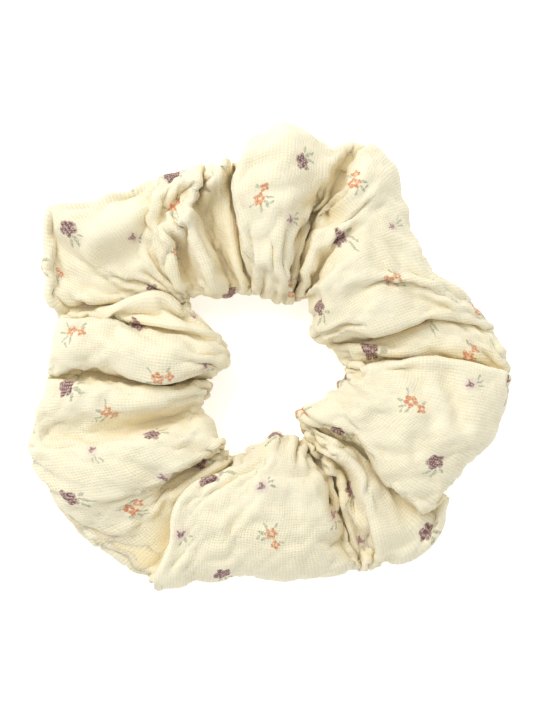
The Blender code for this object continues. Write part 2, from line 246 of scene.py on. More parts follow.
# Small folds that don't run across the whole tube: mm from the middle at both ends, width, height above
# the table, and how fully it is shaped to that height.
CREASES = (
    (-22.2, 31.4, -18.5, 38.8, 3.2, 23.5, 0.8),  # upright leg of the Y at the top left
    (-18.5, 38.8, -9.0, 45.0, 3.4, 22.5, 0.8),  # its arm along the rim
    (-19.7, 39.6, -24.9, 33.0, 2.0, 13.5, 0.8),  # hollow to its left
    (-14.4, 37.0, -11.2, 25.0, 2.6, 11.5, 0.8),  # and to its right
    (-50.0, 26.5, -42.0, 22.7, 2.6, 12.5, 0.7),  # under the roll at the top left
    (-42.0, 22.7, -32.8, 24.6, 2.4, 13.5, 0.7),
    (-32.8, 24.6, -26.2, 34.0, 2.2, 14.5, 0.7),
    (-48.5, 33.0, -40.9, 28.9, 3.2, 20.0, 0.6),  # the roll
    (-40.9, 28.9, -31.0, 34.0, 3.2, 21.0, 0.6),
    (-41.5, 20.8, -31.5, 17.2, 1.8, 12.0, 0.6),
    (-42.7, 14.1, -35.9, 8.4, 1.7, 15.0, 0.7),  # creases along the big tongue
    (-35.9, 8.4, -24.7, 7.2, 1.5, 16.5, 0.7),
    (-24.7, 7.2, -17.0, 4.0, 1.5, 17.0, 0.6),
    (-46.0, 8.0, -41.0, 3.0, 2.2, 17.5, 0.5),
    (13.9, 31.4, 9.6, 21.5, 2.8, 19.0, 0.85),  # plump pleat in the pocket at the top right
    (12.4, 37.2, 14.2, 35.5, 3.0, 8.5, 0.8),  # the pocket
    (8.6, 30.5, 5.8, 19.5, 1.3, 9.0, 0.8),
    (15.5, 25.5, 19.5, 29.5, 1.8, 16.5, 0.5),
    (19.0, 14.5, 27.0, 17.0, 1.8, 18.0, 0.5),
    (33.0, 14.0, 41.0, 11.0, 2.2, 17.0, 0.6),  # ripples over the right side
    (30.0, 24.0, 36.5, 26.5, 2.4, 18.5, 0.5),
    (14.5, -21.0, 22.3, -31.5, 3.2, 20.0, 0.85),  # plump pleat at the lower right
    (22.3, -31.5, 25.8, -41.0, 3.4, 18.5, 0.8),
    (16.6, -27.6, 20.4, -33.6, 1.2, 12.5, 0.8),  # slit in it
    (11.2, -18.5, 15.2, -33.0, 1.2, 9.5, 0.8),  # deep crease to its left
    (15.2, -33.0, 20.9, -47.0, 1.5, 8.0, 0.8),
    (-16.6, -22.6, -12.6, -20.4, 2.0, 18.5, 0.8),  # two small pleats at the hole
    (-19.6, -26.0, -13.4, -21.6, 1.1, 12.0, 0.8),
    (-9.4, -21.5, -7.6, -19.8, 1.8, 18.0, 0.8),
    (-37.5, -33.0, -27.0, -27.5, 2.6, 14.0, 0.5),
    (-36.0, -38.5, -28.0, -35.0, 2.4, 13.0, 0.5),
    (33.0, -2.0, 38.5, -14.0, 2.0, 19.0, 0.5),  # soft ripples over the big flap
    (23.0, -2.5, 29.5, -9.5, 1.9, 19.2, 0.5),
    (41.5, -4.0, 44.5, -14.5, 2.0, 16.5, 0.5),
    (-6.5, -26.0, -8.5, -43.0, 2.2, 20.3, 0.5),
    (4.0, -25.0, 6.5, -42.0, 2.2, 20.0, 0.5),
)
OVERLAP_DEPTH = 4.0 * MM  # cloth this far under the topmost layer is left as it is
CREASE_GRID = 1.2 * MM
tops = {}
for x, y, z in laid.reshape(-1, 3):
    cell = (round(x / CREASE_GRID), round(y / CREASE_GRID))
    tops[cell] = max(tops.get(cell, 0.0), z)
for i in range(COLUMNS):
    for j in range(ROWS):
        x, y, z = laid[i, j]
        turn = row_turns[j] + seam_turns[i]
        on_top = min(max(math.sin(2 * math.pi * turn) * 2.5, 0.0), 1.0)
        cell = (round(x / CREASE_GRID), round(y / CREASE_GRID))
        beside = [(cell[0] + a, cell[1] + b) for a in (-1, 0, 1) for b in (-1, 0, 1)]
        above = max(tops.get(other, 0.0) for other in beside) - z
        if on_top == 0 or above > OVERLAP_DEPTH:
            continue
        for x1, y1, x2, y2, width, height, share in CREASES:
            start, run = np.array((x1, y1)) * MM, np.array((x2 - x1, y2 - y1)) * MM
            at = np.array((x, y)) - start
            along_run = min(max(at @ run / (run @ run), 0.0), 1.0)
            away = np.linalg.norm(at - run * along_run) / (width * MM)
            z += (height * MM - z) * share * on_top * math.exp(-away * away)
        laid[i, j, 2] = z

# The tube is let loose: Blender's Cloth lengthens it a little, so that it puckers and its folds settle on
# each other and on the table. Soft springs hold each point near where it was laid.
SIM_SCALE = 10.0  # Cloth works on a model this many times real size
FRAMES = 16
GROWTH = 0.05
GROWN_AT = 10  # the frame by which it has lengthened
HOLD, HOLD_MORE = 0.45, 0.2  # how firmly a point is held, and how much more at the hole and the rim
loose = laid
tube = bmesh.new()
bmesh.ops.create_grid(tube, x_segments=COLUMNS, y_segments=ROWS, size=0.5)
column_of = tube.verts.layers.int.new("column")
row_of = tube.verts.layers.int.new("row")
for vertex in tube.verts:
    vertex[column_of] = round((vertex.co.x + 0.5) * COLUMNS) % COLUMNS
    vertex[row_of] = round((vertex.co.y + 0.5) * ROWS) % ROWS
    vertex.co = Vector(laid[vertex[column_of], vertex[row_of]]) * SIM_SCALE
bmesh.ops.remove_doubles(tube, verts=tube.verts[:], dist=1e-6)
bmesh.ops.recalc_face_normals(tube, faces=tube.faces[:])
tube_mesh = mesh_from("loose_tube", tube)
loose_tube = linked("loose_tube", tube_mesh)
points = len(tube_mesh.vertices)
columns_of = np.empty(points, dtype=int)
rows_of = np.empty(points, dtype=int)
tube_mesh.attributes["column"].data.foreach_get("value", columns_of)
tube_mesh.attributes["row"].data.foreach_get("value", rows_of)

hold = loose_tube.vertex_groups.new(name="hold")
for k in range(points):
    round_tube = math.cos(2 * math.pi * row_turns[rows_of[k]])
    at_rim, at_hole = max(0.0, round_tube), max(0.0, -round_tube)
    hold.add([k], HOLD + HOLD_MORE * at_hole ** 4 + HOLD_MORE * at_rim ** 2, "REPLACE")

cloth = loose_tube.modifiers.new("Cloth", "CLOTH")
settings = cloth.settings
settings.quality = 4
settings.mass = 0.3
settings.tension_stiffness = 15
settings.compression_stiffness = 10
settings.shear_stiffness = 5
settings.bending_stiffness = 0.3
settings.tension_damping = settings.compression_damping = settings.shear_damping = 5
settings.bending_damping = 0.5
settings.air_damping = 2
settings.vertex_group_mass = "hold"
settings.pin_stiffness = 1.0
settings.use_pressure = True
settings.uniform_pressure_force = 0.2
settings.effector_weights.gravity = 0.3
touching = cloth.collision_settings
touching.collision_quality = 2
touching.use_self_collision = True
touching.self_distance_min = 0.8 * MM * SIM_SCALE
touching.distance_min = 0.5 * MM * SIM_SCALE
touching.self_friction = 0

under = bmesh.new()
bmesh.ops.create_grid(under, x_segments=1, y_segments=1, size=0.2 * SIM_SCALE)
table_to_touch = linked("table_to_touch", mesh_from("table_to_touch", under))
table_to_touch.modifiers.new("Collision", "COLLISION")

settings.shrink_min = 0.0
settings.keyframe_insert("shrink_min", frame=1)
settings.shrink_min = -GROWTH
settings.keyframe_insert("shrink_min", frame=GROWN_AT)
cloth.point_cache.frame_start = 1
cloth.point_cache.frame_end = FRAMES
for frame_number in range(1, FRAMES + 1):
    scene.frame_set(frame_number)
settled = loose_tube.evaluated_get(bpy.context.evaluated_depsgraph_get())
places = np.empty(points * 3)
settled.to_mesh().vertices.foreach_get("co", places)
settled.to_mesh_clear()
loose = np.empty((COLUMNS, ROWS, 3))
loose[columns_of, rows_of] = places.reshape(-1, 3) / SIM_SCALE
loose_tube.animation_data_clear()
bpy.data.objects.remove(loose_tube)
bpy.data.objects.remove(table_to_touch)
scene.frame_set(1)


def doubled(points, axis):
    """Twice as many points round that axis, on a curve through the ones there are, so no cloth is lost."""
    after, before, beyond = (np.roll(points, k, axis) for k in (-1, 1, -2))
    between = (9 * (points + after) - before - beyond) / 16
    shape = list(points.shape)
    shape[axis] *= 2
    return np.stack([points, between], axis + 1).reshape(shape)


loose = doubled(doubled(loose, 0), 1)
loose[:, :, 2] -= loose[:, :, 2].min() - TABLE_GAP - CLOTH_THICKNESS / 2  # it rests on the table
COLUMNS, ROWS = loose.shape[:2]
LIP_ROWS = 5
COLUMN_PITCH = CLOTH_LENGTH / COLUMNS
ROW_PITCH = (CLOTH_WIDTH - 2 * SEAM_ALLOWANCE) / ROWS
LAP_COLUMNS = round(CLOSING_LAP / COLUMN_PITCH)
TUCK_COLUMNS = 6
LIPS_EVENED = 6  # columns to each side that a lip's way is evened over


def normalised(vectors):
    return vectors / np.maximum(np.linalg.norm(vectors, axis=-1, keepdims=True), 1e-12)


along = np.roll(loose, -1, 0) - np.roll(loose, 1, 0)
across = np.roll(loose, -1, 1) - np.roll(loose, 1, 1)
outward = normalised(np.cross(along, across))
if (outward * (loose - loose.mean(1, keepdims=True))).sum() < 0:
    outward = -outward

# Where the seam is sewn, the lips turn in between the two sides of the tube.
seam = loose[:, 0]
lip_way = loose.mean(1) - seam
lip_way = normalised(sum(np.roll(lip_way, k, 0) for k in range(-LIPS_EVENED, LIPS_EVENED + 1)))
to_top = loose[:, 1] - loose[:, -1]
to_top = normalised(to_top - lip_way * (to_top * lip_way).sum(1, keepdims=True))
SEAM_SINK = 0.5 * MM
LIP_GAP = 0.35 * MM
LAP_DEPTH = 1.0 * MM


def strip_point(i, j):
    """A point of the sewn strip. Columns below 0 are the end tucked in under the other one."""
    c = i % COLUMNS
    tucked = max(0.0, 1 - max(i, 0) / TUCK_COLUMNS) * LAP_DEPTH
    if 0 < j < ROWS:
        return loose[c, j] - outward[c, j] * tucked
    side = 1 if j <= 0 else -1
    back = -j if j <= 0 else j - ROWS
    inside = seam[c] + lip_way[c] * (SEAM_SINK + back * SEAM_ALLOWANCE / LIP_ROWS)
    return inside + to_top[c] * side * LIP_GAP - outward[c, 0] * tucked


strip = bmesh.new()
strip_columns, strip_rows = COLUMNS + LAP_COLUMNS, ROWS + 2 * LIP_ROWS
bmesh.ops.create_grid(strip, x_segments=strip_columns, y_segments=strip_rows, size=0.5)
weave_map = strip.loops.layers.uv.new("weave")
grid_of = {}
for vertex in strip.verts:
    i = round((vertex.co.x + 0.5) * strip_columns) - LAP_COLUMNS
    j = round((vertex.co.y + 0.5) * strip_rows) - LIP_ROWS
    grid_of[vertex] = (i, j)
for face in strip.faces:
    for corner in face.loops:
        i, j = grid_of[corner.vert]
        corner[weave_map].uv = (i * COLUMN_PITCH, j * ROW_PITCH)
for vertex, (i, j) in grid_of.items():
    vertex.co = strip_point(i, j)
strip.normal_update()
TRIED = (120, 24)  # a column and row where the faces' way round is tried
tried_face = next(face for face in strip.faces if grid_of[face.verts[0]] == TRIED)
if tried_face.normal.dot(Vector(outward[TRIED])) < 0:
    bmesh.ops.reverse_faces(strip, faces=strip.faces[:])
strip.normal_update()

# How shut in each point is by the folds round it, from short rays: painted shade for the cloth's colour. The
# deep folds are painted a darker, warmer tan, standing in for the light that reaches them through the gauze.
tree = bvhtree.BVHTree.FromBMesh(strip)
RAY_COUNT = 20
RAY_LENGTH = 11 * MM
RAY_START = 0.4  # mm off the cloth
rays = []
for k in range(RAY_COUNT):
    z = 1 - (k + 0.5) / RAY_COUNT
    turn = k * math.pi * (3 - math.sqrt(5))
    rays.append(Vector((math.sqrt(1 - z * z) * math.cos(turn), math.sqrt(1 - z * z) * math.sin(turn), z)))
painted_fold_shade_of = strip.verts.layers.float.new("painted_fold_shade")
for vertex in strip.verts:
    up = vertex.normal
    turned = Vector((0, 0, 1)).rotation_difference(up)
    start = vertex.co + up * RAY_START * MM
    hits = 0.0
    for ray in rays:
        found = tree.ray_cast(start, turned @ ray, RAY_LENGTH)
        if found[0] is not None:
            hits += ray.z * (1 - 0.5 * found[3] / RAY_LENGTH)
    vertex[painted_fold_shade_of] = hits / (0.5 * len(rays))
for _ in range(2):
    nearby = {v: [e.other_vert(v)[painted_fold_shade_of] for e in v.link_edges] for v in strip.verts}
    for v, values in nearby.items():
        v[painted_fold_shade_of] = 0.5 * v[painted_fold_shade_of] + 0.5 * sum(values) / len(values)

# The print: three small motifs, each about a finger's width from the next. Those on top are set where they
# lie: kind, mm from the middle, and the degrees that each is turned. The rest are scattered over the cloth.
ROSE, ORANGE, BUD = 1, 2, 3
PRINTED = (
    (ROSE, -47.5, 31.0, -35), (ROSE, -27.6, 17.5, -25), (ROSE, -23.0, 43.6, 10), (ROSE, 7.4, 46.2, 80),
    (ROSE, 15.9, 28.9, 45), (ROSE, 11.9, 12.7, -30), (ROSE, 23.5, 2.3, 0), (ROSE, -48.0, -6.3, 20),
    (ROSE, -27.8, -17.7, 60), (ROSE, -17.1, -24.4, 60), (ROSE, -14.0, -28.6, 45), (ROSE, -47.5, -32.4, 10),
    (ROSE, 1.4, -17.7, 0), (ROSE, 18.8, -30.8, -50), (ROSE, 38.5, -23.6, -50), (ROSE, 37.3, -41.0, 20),
    (ROSE, 18.5, -50.7, 60), (ROSE, -11.2, -50.3, -20),
    (ORANGE, -45.9, 6.5, -10), (ORANGE, -1.9, 38.1, 60), (ORANGE, 20.0, 41.9, 62), (ORANGE, 28.5, 18.7, 5),
    (ORANGE, 5.0, 17.2, 70), (ORANGE, 47.8, 1.1, 40), (ORANGE, -25.2, -4.4, 0), (ORANGE, -38.0, -12.5, -30),
    (ORANGE, -32.3, -35.0, 25), (ORANGE, -5.9, -22.5, 20), (ORANGE, 0.5, -41.2, -80),
    (ORANGE, 33.5, -10.3, -50), (ORANGE, 7.4, -12.2, -40), (ORANGE, -22.3, 36.0, 50),
    (BUD, -32.3, 28.9, 45), (BUD, -44.2, 13.9, 60), (BUD, 4.8, 32.4, 60), (BUD, 28.5, 31.2, 80),
    (BUD, 35.9, 9.1, 10), (BUD, -15.2, -1.5, 20), (BUD, -41.8, -21.3, -20), (BUD, -24.7, -27.7, 40),
    (BUD, -20.9, -40.8, 0), (BUD, -1.7, -29.3, 70), (BUD, 46.8, -5.8, 60), (BUD, 14.7, -36.9, -20),
    (BUD, 21.6, -43.1, -20),
)
MOTIF_GAP = 8.5 * MM
MOTIF_REACH = 6.0 * MM
BARE = 50.0  # the place in the print's map that nothing is printed on
OVER_ALL = 0.06  # a height over every fold, to look down from
ON_SHOW = 1.5 * MM  # cloth no further than this under the topmost layer can be seen
SPARSE = 2.2  # how much wider the scattered motifs' gaps are where they can be seen
chance = random.Random(5)


def stretch_at(c, r):
    """How much of its flat size the cloth shows there, along the strip and across it."""
    span = 4
    run = np.linalg.norm(loose[(c + span) % COLUMNS, r] - loose[(c - span) % COLUMNS, r])
    rise = np.linalg.norm(loose[c, (r + span) % ROWS] - loose[c, (r - span) % ROWS])
    along_strip = min(max(run / (2 * span * COLUMN_PITCH), 0.35), 1.3)
    across_strip = min(max(rise / (2 * span * ROW_PITCH), 0.5), 1.3)
    return along_strip, across_strip


motifs = []  # kind, u, v, degrees, stretch along, stretch across
motif_places = []
for kind, x, y, degrees in PRINTED:
    place, _, index, _ = tree.ray_cast(Vector((x * MM, y * MM, OVER_ALL)), Vector((0, 0, -1)))
    if place is None:
        continue
    strip.faces.ensure_lookup_table()
    corners = strip.faces[index].loops
    shares = interpolate.poly_3d_calc([c.vert.co for c in corners], place)
    u = sum(share * c[weave_map].uv.x for share, c in zip(shares, corners))
    v = sum(share * c[weave_map].uv.y for share, c in zip(shares, corners))
    c, r = round(u / COLUMN_PITCH) % COLUMNS, round(v / ROW_PITCH) % ROWS
    step_u = (loose[(c + 1) % COLUMNS, r] - loose[c - 1, r])[:2] / (2 * COLUMN_PITCH)
    step_v = (loose[c, (r + 1) % ROWS] - loose[c, r - 1])[:2] / (2 * ROW_PITCH)
    lie = np.array((step_u, step_v)).T
    run, rise = stretch_at(c, r)
    if abs(np.linalg.det(lie)) > 0.05:
        way = np.linalg.solve(lie, (math.cos(math.radians(degrees)), math.sin(math.radians(degrees))))
        degrees = math.degrees(math.atan2(way[1] * rise, way[0] * run))
    motifs.append((kind, u, v, degrees, run, rise))
    motif_places.append(place)
seen_from = Vector((0, 0, OVER_ALL))
spots = [(c, r) for c in range(0, COLUMNS, 4) for r in range(0, ROWS, 4)]
chance.shuffle(spots)
for c, r in spots:
    place = Vector(loose[c, r])
    met = tree.ray_cast(place + seen_from, Vector((0, 0, -1)))[0]
    on_show = met is not None and met.z - place.z < ON_SHOW
    gap = MOTIF_GAP * (SPARSE if on_show else 1.0)
    if all((place - other).length > gap for other in motif_places):
        kind = chance.choice((ROSE, ORANGE, BUD))
        motifs.append((kind, c * COLUMN_PITCH, r * ROW_PITCH, chance.uniform(0, TURN), *stretch_at(c, r)))
        motif_places.append(place)

table_of_motifs = np.array(motifs)
print_map = strip.loops.layers.uv.new("print")
for face in strip.faces:
    middle = sum((c[weave_map].uv for c in face.loops), Vector((0, 0))) / 4
    du = (middle.x - table_of_motifs[:, 1] + CLOTH_LENGTH / 2) % CLOTH_LENGTH - CLOTH_LENGTH / 2
    dv = middle.y - table_of_motifs[:, 2]
    away = np.hypot(du * table_of_motifs[:, 4], dv * table_of_motifs[:, 5])
    nearest = int(away.argmin())
    kind, u, v, degrees, run, rise = table_of_motifs[nearest]
    turn = math.radians(degrees)
    for corner in face.loops:
        if away[nearest] > MOTIF_REACH:
            corner[print_map].uv = (BARE, BARE)
            continue
        x = ((corner[weave_map].uv.x - u + CLOTH_LENGTH / 2) % CLOTH_LENGTH - CLOTH_LENGTH / 2) * run / MM
        y = (corner[weave_map].uv.y - v) * rise / MM
        corner[print_map].uv = (
            kind * 100 + x * math.cos(turn) + y * math.sin(turn),
            y * math.cos(turn) - x * math.sin(turn),
        )

cover_mesh = mesh_from("cover", strip)
cover_mesh.shade_smooth()
cover = linked("cover", cover_mesh)
walled = cover.modifiers.new("Solidify", "SOLIDIFY")
walled.thickness = CLOTH_THICKNESS
walled.offset = 0


class Nodes:
    """Short ways to add shader nodes. A value that is None stays as the node has it."""

    def __init__(self, material):
        self.tree = material.node_tree

    def add(self, kind, values=(), **settings):
        node = self.tree.nodes.new("ShaderNode" + kind)
        for name, value in settings.items():
            setattr(node, name, value)
        for socket, value in zip(node.inputs, values):
            self.put(socket, value)
        return node

    def put(self, socket, value):
        if isinstance(value, bpy.types.NodeSocket):
            self.tree.links.new(value, socket)
        elif value is not None:
            socket.default_value = value

    def maths(self, operation, *values):
        return self.add("Math", values, operation=operation).outputs[0]

    def fade(self, value, low, high):
        """0 up to low and 1 from high, eased, or the other way round where low is the larger."""
        node = self.add("MapRange", (value, min(low, high), max(low, high)), interpolation_type="SMOOTHSTEP")
        if low > high:
            return self.maths("SUBTRACT", 1.0, node.outputs[0])
        return node.outputs[0]

    def mixed(self, share, first, second):
        node = self.add("Mix", data_type="RGBA")
        self.put(node.inputs[0], share)
        self.put(node.inputs[6], first)
        self.put(node.inputs[7], second)
        return node.outputs[2]

    def moved(self, vector, place, turn, size):
        """The vector as seen from a shape at that place, turned and of that size."""
        node = self.add("Mapping", (vector, place, (0, 0, turn), size), vector_type="TEXTURE")
        return node.outputs[0]

    def noise(self, vector, scale, detail=2.0, rough=0.5):
        node = self.add("TexNoise", (vector, None, scale, detail, rough), noise_dimensions="3D")
        return node


def new_material(name):
    """A material, the short ways to add to it, and its shader."""
    material = bpy.data.materials.new(name)
    material.use_nodes = True
    return material, Nodes(material), material.node_tree.nodes["Principled BSDF"]


gauze, n, shader = new_material("printed_double_gauze")
weave = n.add("UVMap", uv_map="weave").outputs[0]
printed = n.add("UVMap", uv_map="print").outputs[0]

# yarns: ribs that run round the tube, crossed by finer ones, both wandering as crinkled gauze does
RIB = 0.70 * MM
PICK = 0.62 * MM
wander = n.noise(weave, 110.0, 2.0)
bent = n.add("VectorMath", (wander.outputs[1], (0.5, 0.5, 0.5)), operation="SUBTRACT").outputs[0]
bent = n.add("VectorMath", (bent,), operation="SCALE")
bent.inputs[3].default_value = 1.5 * MM
woven = n.add("VectorMath", (weave, bent.outputs[0]), operation="ADD").outputs[0]
flat = n.add("SeparateXYZ", (woven,))
rib = n.maths("COSINE", n.maths("MULTIPLY", flat.outputs[0], 2 * math.pi / RIB))
pick = n.maths("COSINE", n.maths("MULTIPLY", flat.outputs[1], 2 * math.pi / PICK))
rib = n.maths("MULTIPLY_ADD", rib, 0.5, 0.5)
pick = n.maths("MULTIPLY_ADD", pick, 0.5, 0.5)
loosened = n.fade(n.noise(weave, 90.0, 2.0).outputs[0], 0.3, 0.7)
holes = n.maths("MULTIPLY", n.maths("SUBTRACT", 1.0, rib), n.maths("SUBTRACT", 1.0, pick))
crossed = n.maths("MULTIPLY_ADD", pick, 0.4, n.maths("MULTIPLY", rib, 0.6))
yarns = n.maths("SUBTRACT", crossed, n.maths("MULTIPLY", holes, loosened))
fuzz = n.noise(weave, 2600.0, 2.0).outputs[0]
height = n.maths("MULTIPLY_ADD", fuzz, 0.35, yarns)

# CREAM is the cloth's own colour; the two below it are painted shade, in the weave's gaps and in the deep
# folds
CREAM = (0.95, 0.885, 0.69, 1.0)
PAINTED_GAP_SHADE = (0.88, 0.76, 0.50, 1.0)
PAINTED_FOLD_SHADE_TAN = (0.88, 0.73, 0.44, 1.0)
painted_shade_noise = n.noise(weave, 60.0, 3.0).outputs[0]
# painted shade: the gaps between the yarns are darker and warmer than the yarn tops
ground = n.mixed(n.maths("MULTIPLY", n.maths("SUBTRACT", 1.0, yarns), 0.6), CREAM, PAINTED_GAP_SHADE)
# painted shade: the deep folds are mixed towards a darker, warmer tan by how shut in each point is, from the
# rays, with some noise
painted_fold_shade = n.add("Attribute", attribute_name="painted_fold_shade").outputs[2]
depth = n.fade(n.maths("MULTIPLY_ADD", painted_shade_noise, 0.15, painted_fold_shade), 0.15, 1.0)
ground = n.mixed(n.maths("MULTIPLY", depth, 0.55), ground, PAINTED_FOLD_SHADE_TAN)

# the print's shapes, in mm from each motif's middle, with edges that the yarns break up
ragged = n.noise(weave, 1500.0, 2.0).outputs[1]
ragged = n.add("VectorMath", (ragged, (0.5, 0.5, 0.5)), operation="SUBTRACT").outputs[0]
ragged = n.add("VectorMath", (ragged,), operation="SCALE")
ragged.inputs[3].default_value = 0.9
ink_at = n.add("VectorMath", (printed, ragged.outputs[0]), operation="ADD").outputs[0]


def blob(kind, x, y, width, long, degrees, soft=0.25):
    """An ellipse of ink, 1 inside and 0 outside."""
    seen = n.moved(ink_at, (kind * 100 + x, y, 0), math.radians(degrees), (width / 2, long / 2, 1))
    seen = n.add("VectorMath", (seen, (1, 1, 0)), operation="MULTIPLY").outputs[0]
    far_out = n.add("VectorMath", (seen,), operation="LENGTH").outputs[1]
    return n.fade(far_out, 1 + soft, 1 - soft)


def together(shapes):
    whole = shapes[0]
    for shape in shapes[1:]:
        whole = n.maths("MAXIMUM", whole, shape)
    return whole


def petals(kind, x, y, ring, size, number, start=0.0):
    made = []
    for k in range(number):
        turn = math.radians(start + TURN / number * k)
        petal_x, petal_y = x + ring * math.cos(turn), y + ring * math.sin(turn)
        made.append(blob(kind, petal_x, petal_y, size, size * 0.8, math.degrees(turn)))
    return together(made)


rose = together([petals(ROSE, 0, 0, 1.0, 2.1, 5, 15), blob(ROSE, 0, 0, 3.1, 2.7, 20)])
orange = together([petals(ORANGE, -0.9, 0, 0.85, 1.35, 5, 20), petals(ORANGE, 1.8, 0.5, 0.6, 1.1, 4, 0)])
orange_eyes = together([blob(ORANGE, -0.9, 0, 0.7, 0.7, 0), blob(ORANGE, 1.8, 0.5, 0.5, 0.5, 0)])
bud_halo = blob(BUD, 0, 0, 2.6, 2.8, 0, 0.6)
bud = together(
    [blob(BUD, 0, 0, 1.1, 1.3, 0), blob(BUD, 0.5, 0.6, 0.5, 1.0, -30), blob(BUD, -0.5, 0.5, 0.5, 1.0, 35)]
)
LEAVES = (  # motif, x, y, width, length, degrees
    (ROSE, 2.5, -1.5, 0.7, 2.2, 50), (ROSE, 3.1, -0.2, 0.7, 1.7, 95), (ROSE, 1.6, -2.7, 0.8, 2.0, 10),
    (ROSE, 3.4, -2.4, 0.5, 1.4, 60),
    (ORANGE, -1.2, -2.3, 0.7, 2.1, -20), (ORANGE, 0.2, -2.0, 0.6, 2.0, 25),
    (ORANGE, -2.6, -1.4, 0.7, 1.8, -65), (ORANGE, 1.4, 2.0, 0.6, 1.6, -30),
    (ORANGE, -0.3, -3.2, 0.6, 1.3, 60), (ORANGE, -2.9, 1.2, 0.5, 1.5, 60),
    (BUD, 1.6, -1.5, 0.6, 1.8, 40), (BUD, 2.4, -0.8, 0.5, 1.4, 80), (BUD, 0.8, -2.3, 0.5, 1.4, 5),
)
leaves = together([blob(*leaf) for leaf in LEAVES])
# ink sits on the tops of the yarns and misses some of them
strand = n.add("Mapping", (weave, None, None, (2200.0, 900.0, 1.0))).outputs[0]
missed = n.fade(n.noise(strand, 1.0, 1.0).outputs[0], 0.30, 0.52)
took = n.maths("MULTIPLY", missed, n.fade(yarns, -0.2, 0.25))
took = n.maths("MULTIPLY_ADD", took, 0.5, 0.5)
tone = n.fade(n.noise(strand, 1.7, 1.0).outputs[0], 0.35, 0.65)

PLUM, PLUM_PALE = (0.115, 0.042, 0.060, 1.0), (0.36, 0.19, 0.20, 1.0)
RUST, RUST_PALE = (0.56, 0.17, 0.055, 1.0), (0.80, 0.36, 0.17, 1.0)
SAGE, SAGE_PALE = (0.30, 0.33, 0.22, 1.0), (0.52, 0.54, 0.42, 1.0)
LILAC = (0.66, 0.50, 0.48, 1.0)
colour = ground
for shape, strength, dark, pale in (
    (leaves, 0.85, SAGE, SAGE_PALE),
    (bud_halo, 0.6, LILAC, LILAC),
    (bud, 0.85, PLUM, PLUM_PALE),
    (rose, 1.0, PLUM, PLUM_PALE),
    (orange, 0.95, RUST, RUST_PALE),
):
    share = n.maths("MULTIPLY", n.maths("MULTIPLY", shape, took), strength)
    colour = n.mixed(share, colour, n.mixed(tone, dark, pale))
colour = n.mixed(n.maths("MULTIPLY", orange_eyes, 0.55), colour, CREAM)
n.put(shader.inputs["Base Color"], colour)
shader.inputs["Roughness"].default_value = 0.92
shader.inputs["Specular IOR Level"].default_value = 0.08
shader.inputs["Sheen Weight"].default_value = 0.12
shader.inputs["Sheen Roughness"].default_value = 0.6
shader.inputs["Subsurface Weight"].default_value = 0.25
shader.inputs["Subsurface Radius"].default_value = (1.0, 0.8, 0.5)
shader.inputs["Subsurface Scale"].default_value = 1.2 * MM
raised = n.add("Bump")
raised.inputs["Strength"].default_value = 0.6
raised.inputs["Distance"].default_value = 0.11 * MM
n.put(raised.inputs["Height"], height)
crumple = n.noise(weave, 330.0, 3.0).outputs[0]
soft_bump = n.add("Bump")
soft_bump.inputs["Strength"].default_value = 0.5
soft_bump.inputs["Distance"].default_value = 0.9 * MM
n.put(soft_bump.inputs["Height"], crumple)
n.put(soft_bump.inputs["Normal"], raised.outputs[0])
n.put(shader.inputs["Normal"], soft_bump.outputs[0])
cover_mesh.materials.append(gauze)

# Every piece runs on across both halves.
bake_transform(cover)
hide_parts("cover_right", "cover_left_upper", "cover_left_lower")

# ---- The elastic ---------------------------------------------------------------------------------
# One flat band of white braided elastic, 6 mm wide, that runs loose inside the tube near the hole. Its ends
# lie over each other at the left and are sewn together with a zigzag.

ELASTIC_WIDTH = 6 * MM
ELASTIC_THICKNESS = 1 * MM
ELASTIC_FREE = 0.9 * MM  # between the band and the cloth
ELASTIC_STEPS = 144  # round the ring
LAP_STEPS = 16
LAP_START = 78
BAND_LEVEL = 5.5 * MM  # a height inside the tube, to look for room from
LOOK_DOWN, LOOK_UP = 0.01, 0.03  # how far
band_low, band_high = (Vector(corner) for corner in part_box("elastic_band"))
band_middle = (band_low + band_high) / 2
band_middle.z = 0
wall = bvhtree.BVHTree.FromPolygons(
    [Vector(point) for point in loose.reshape(-1, 3)],
    [
        (i * ROWS + j, after * ROWS + j, after * ROWS + (j + 1) % ROWS, i * ROWS + (j + 1) % ROWS)
        for i, after in zip(range(COLUMNS), (*range(1, COLUMNS), 0))
        for j in range(ROWS)
    ],
)


def reach(start, way, most):
    found = wall.ray_cast(start, way, most)
    return found[3] if found[0] is not None else most


def way_out(step):
    """The way from the ring's middle to that step of the band."""
    turn = 2 * math.pi * step / ELASTIC_STEPS
    return Vector((math.cos(turn), math.sin(turn), 0))


def room_at(step, away):
    """The lowest and highest that the band can lie there, that far from the ring's middle."""
    floor, ceiling = 0.0, LOOK_UP
    for aside in (-3, 0, 3):
        start = band_middle + way_out(step) * (away + aside * MM) + Vector((0, 0, BAND_LEVEL))
        floor = max(floor, start.z - reach(start, Vector((0, 0, -1)), LOOK_DOWN))
        ceiling = min(ceiling, start.z + reach(start, Vector((0, 0, 1)), LOOK_UP))
    return floor, ceiling


def roomiest(step):
    """How far from the ring's middle the band lies: by the hole, or further out where that is tight."""
    hole_side = max(reach(band_middle + Vector((0, 0, z * MM)), way_out(step), 0.04) for z in (2, 4, 6, 8))
    best = hole_side + ELASTIC_FREE + ELASTIC_WIDTH / 2
    choices = [best + extra * MM for extra in range(0, 12, 2)]
    rooms = [room_at(step, away) for away in choices]
    return max(zip(rooms, choices), key=lambda found: found[0][1] - found[0][0] - 0.15 * (found[1] - best))[1]


def evened_round(values, over):
    return sum(np.roll(values, k) for k in range(-over, over + 1)) / (2 * over + 1)


